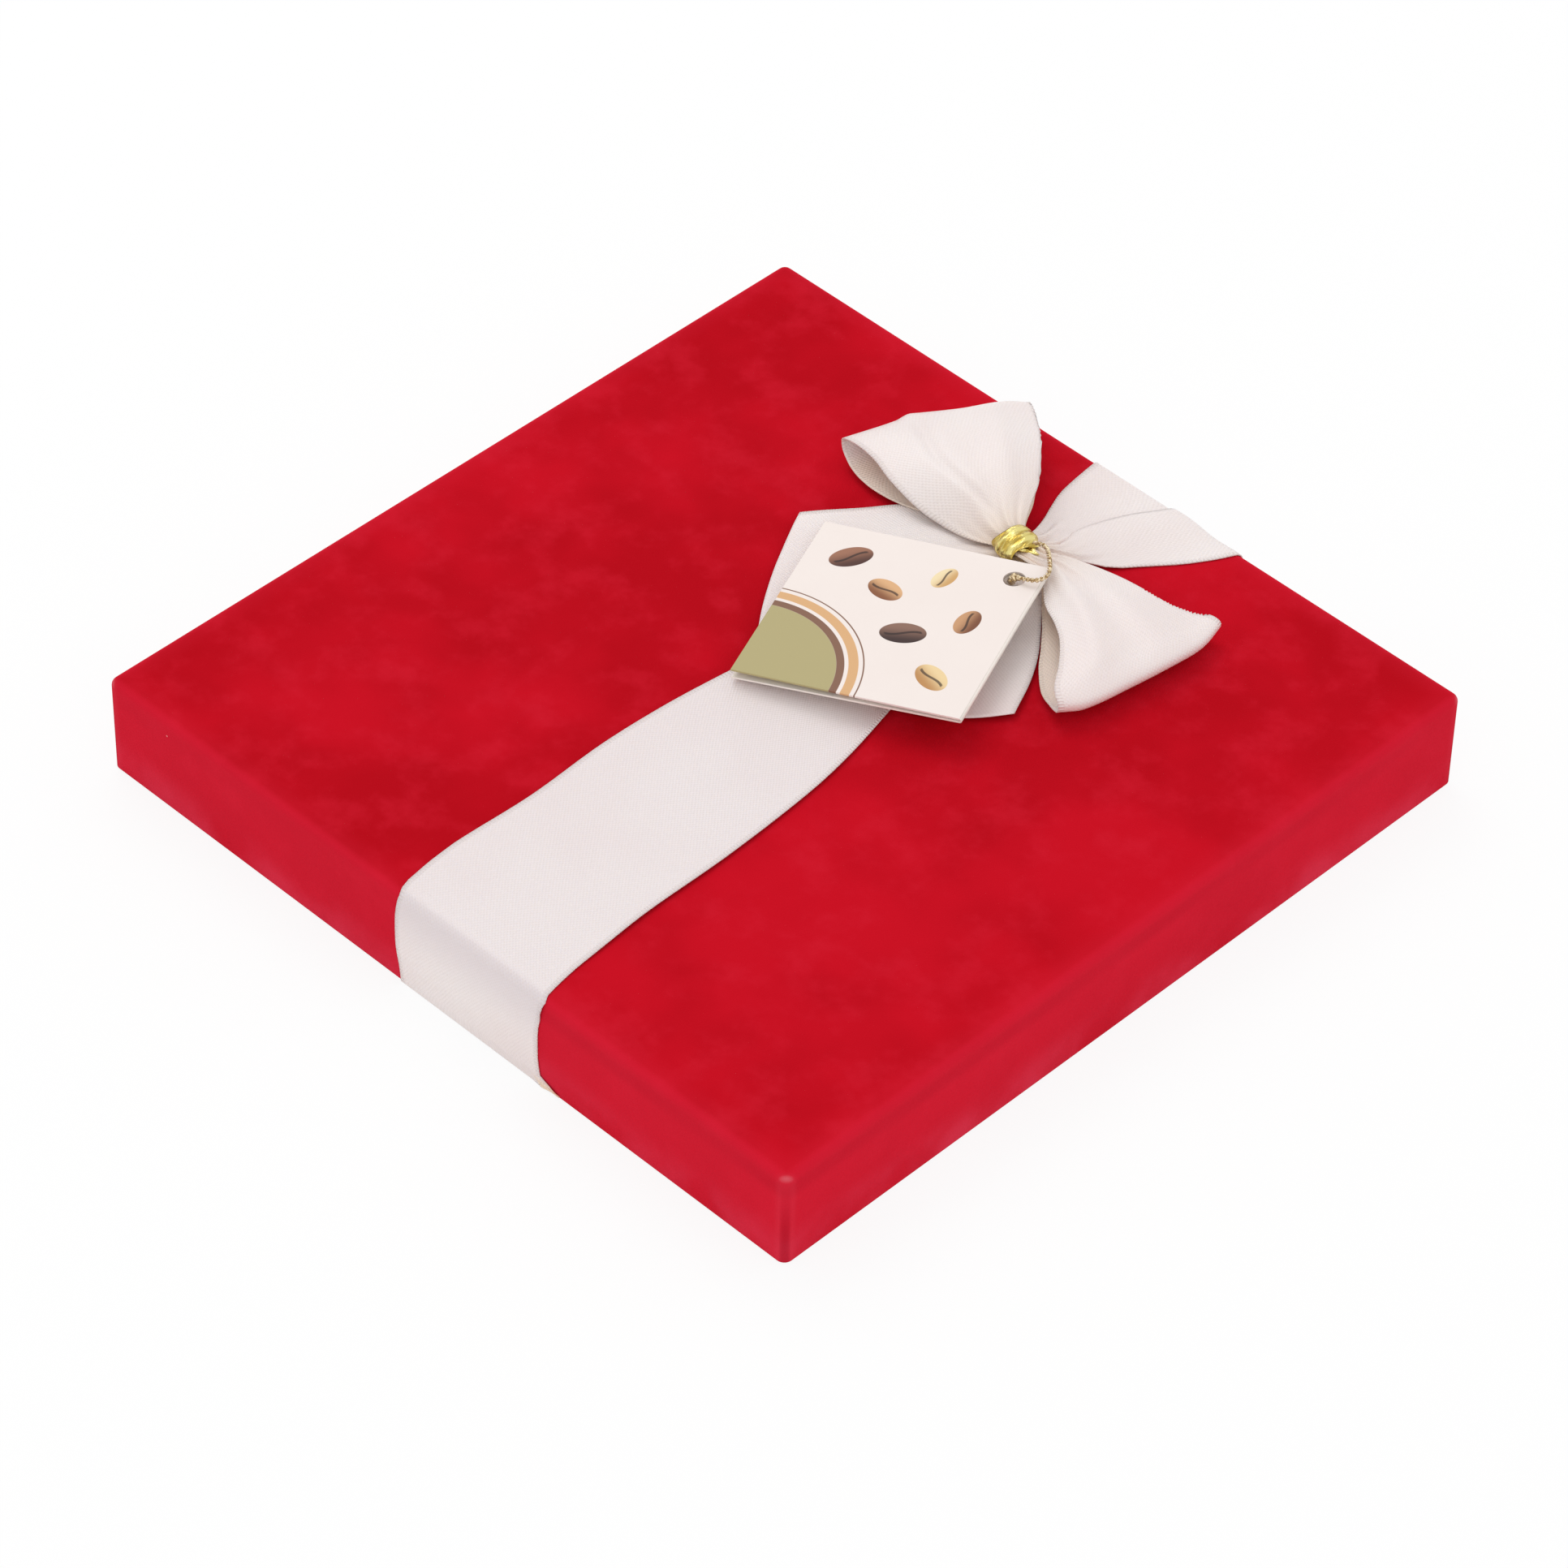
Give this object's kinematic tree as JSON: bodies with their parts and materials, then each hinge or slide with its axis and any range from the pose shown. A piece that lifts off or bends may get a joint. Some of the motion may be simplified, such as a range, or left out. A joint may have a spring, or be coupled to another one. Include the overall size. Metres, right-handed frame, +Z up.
{
  "type": "chocolate box",
  "caption": "Flat square gift box with a flocked lid tied with a satin ribbon and bow, a folded card on a cord, and a moulded tray of pralines under a padded sheet.",
  "frame": {"origin": "middle of the base's underside, on the surface the box stands on", "axes": "+Z up, out of the lid; the ribbon runs along Y and the front side, where it hangs widest, faces -Y; +X to the right seen from the front"},
  "size_m": [0.19, 0.1906, 0.034],
  "materials": {
    "base_board": "grey board, unseen inside its cover",
    "lid_board": "grey board, unseen inside its cover",
    "base_paper": "smooth dyed red cover paper",
    "flocked_cover": "flocked red cover with a short velvet pile",
    "base_lining": "plain cream lining paper",
    "lid_lining": "plain cream lining paper",
    "corner_paper": "brown gummed corner paper",
    "satin_ribbon": "ivory satin with woven selvedges",
    "paper_tape": "matt paper tape",
    "gold_foil": "crinkled gold foil",
    "tray_plastic": "thin glossy gold-brown moulded sheet",
    "padded_paper": "embossed white wadding between papers",
    "dark_chocolate": "dark chocolate with a soft shine",
    "milk_chocolate": "milk chocolate with a soft shine",
    "white_chocolate": "white chocolate, satin",
    "tag_card": "uncoated cream card with a printed pattern",
    "gold_cord": "twisted metallic cord"
  },
  "bodies": {
    "base": {"base_board": "base_board", "base_cover": "base_paper", "base_lining": "base_lining", "base_corner_stays": "corner_paper"},
    "lid": {"lid_board": "lid_board", "lid_cover": "flocked_cover", "lid_lining": "lid_lining", "lid_corner_stays": "corner_paper", "ribbon_band": "satin_ribbon", "ribbon_tape_front": "paper_tape", "ribbon_tape_back": "paper_tape", "bow_loop_left": "satin_ribbon", "bow_loop_right": "satin_ribbon", "bow_tail_left": "satin_ribbon", "bow_tail_right": "satin_ribbon", "bow_tie": "gold_foil"},
    "pad": {"cushion_pad": "padded_paper"},
    "pralines": {"praline_11_block": "dark_chocolate", "praline_12_dome": "milk_chocolate", "praline_13_barrel": "milk_chocolate", "praline_14_rosette": "white_chocolate", "praline_15_gem": "dark_chocolate", "praline_21_barrel": "milk_chocolate", "praline_22_rosette": "white_chocolate", "praline_23_gem": "dark_chocolate", "praline_24_block": "dark_chocolate", "praline_25_dome": "milk_chocolate", "praline_31_gem": "dark_chocolate", "praline_32_block": "dark_chocolate", "praline_33_dome": "milk_chocolate", "praline_34_barrel": "milk_chocolate", "praline_35_rosette": "white_chocolate", "praline_41_dome": "milk_chocolate", "praline_42_barrel": "milk_chocolate", "praline_43_rosette": "white_chocolate", "praline_44_gem": "dark_chocolate", "praline_45_block": "dark_chocolate", "praline_51_rosette": "white_chocolate", "praline_52_gem": "dark_chocolate", "praline_53_block": "dark_chocolate", "praline_54_dome": "milk_chocolate", "praline_55_barrel": "milk_chocolate"},
    "tray": {"praline_tray": "tray_plastic"},
    "tag": {"tag_back": "tag_card", "tag_string": "gold_cord"},
    "tag_front": {"tag_cover": "tag_card"}
  },
  "joints": [
    {"name": "lid_lift", "type": "slide", "parent": "base", "child": "lid", "axis": [0, 0, 1], "range_m": [0, 0.12]},
    {"name": "pad_lift", "type": "slide", "parent": "base", "child": "pad", "axis": [0, 0, 1], "range_m": [0, 0.09]},
    {"name": "praline_lift", "type": "slide", "parent": "base", "child": "pralines", "axis": [0, 0, 1], "range_m": [0, 0.06]},
    {"name": "tray_lift", "type": "slide", "parent": "base", "child": "tray", "axis": [0, 0, 1], "range_m": [0, 0.03]},
    {"name": "tag_swing", "type": "hinge", "parent": "lid", "child": "tag", "pos_m": [0.0095, 0.0603, 0.031], "axis": [-0.9939, 0.1104, 0], "range_deg": [0, 60], "deforming": ["tag_string"]},
    {"name": "tag_cover_open", "type": "hinge", "parent": "tag", "child": "tag_front", "pos_m": [0.02749, 0.03374, 0.03154], "axis": [-0.3767, 0.9263, 0], "range_deg": [0, 85], "deforming": ["tag_string"]}
  ],
  "couplings": [
    {"joint": "pad_lift", "follows": "lid_lift", "ratio": 0.75},
    {"joint": "praline_lift", "follows": "lid_lift", "ratio": 0.5},
    {"joint": "tray_lift", "follows": "lid_lift", "ratio": 0.25}
  ]
}
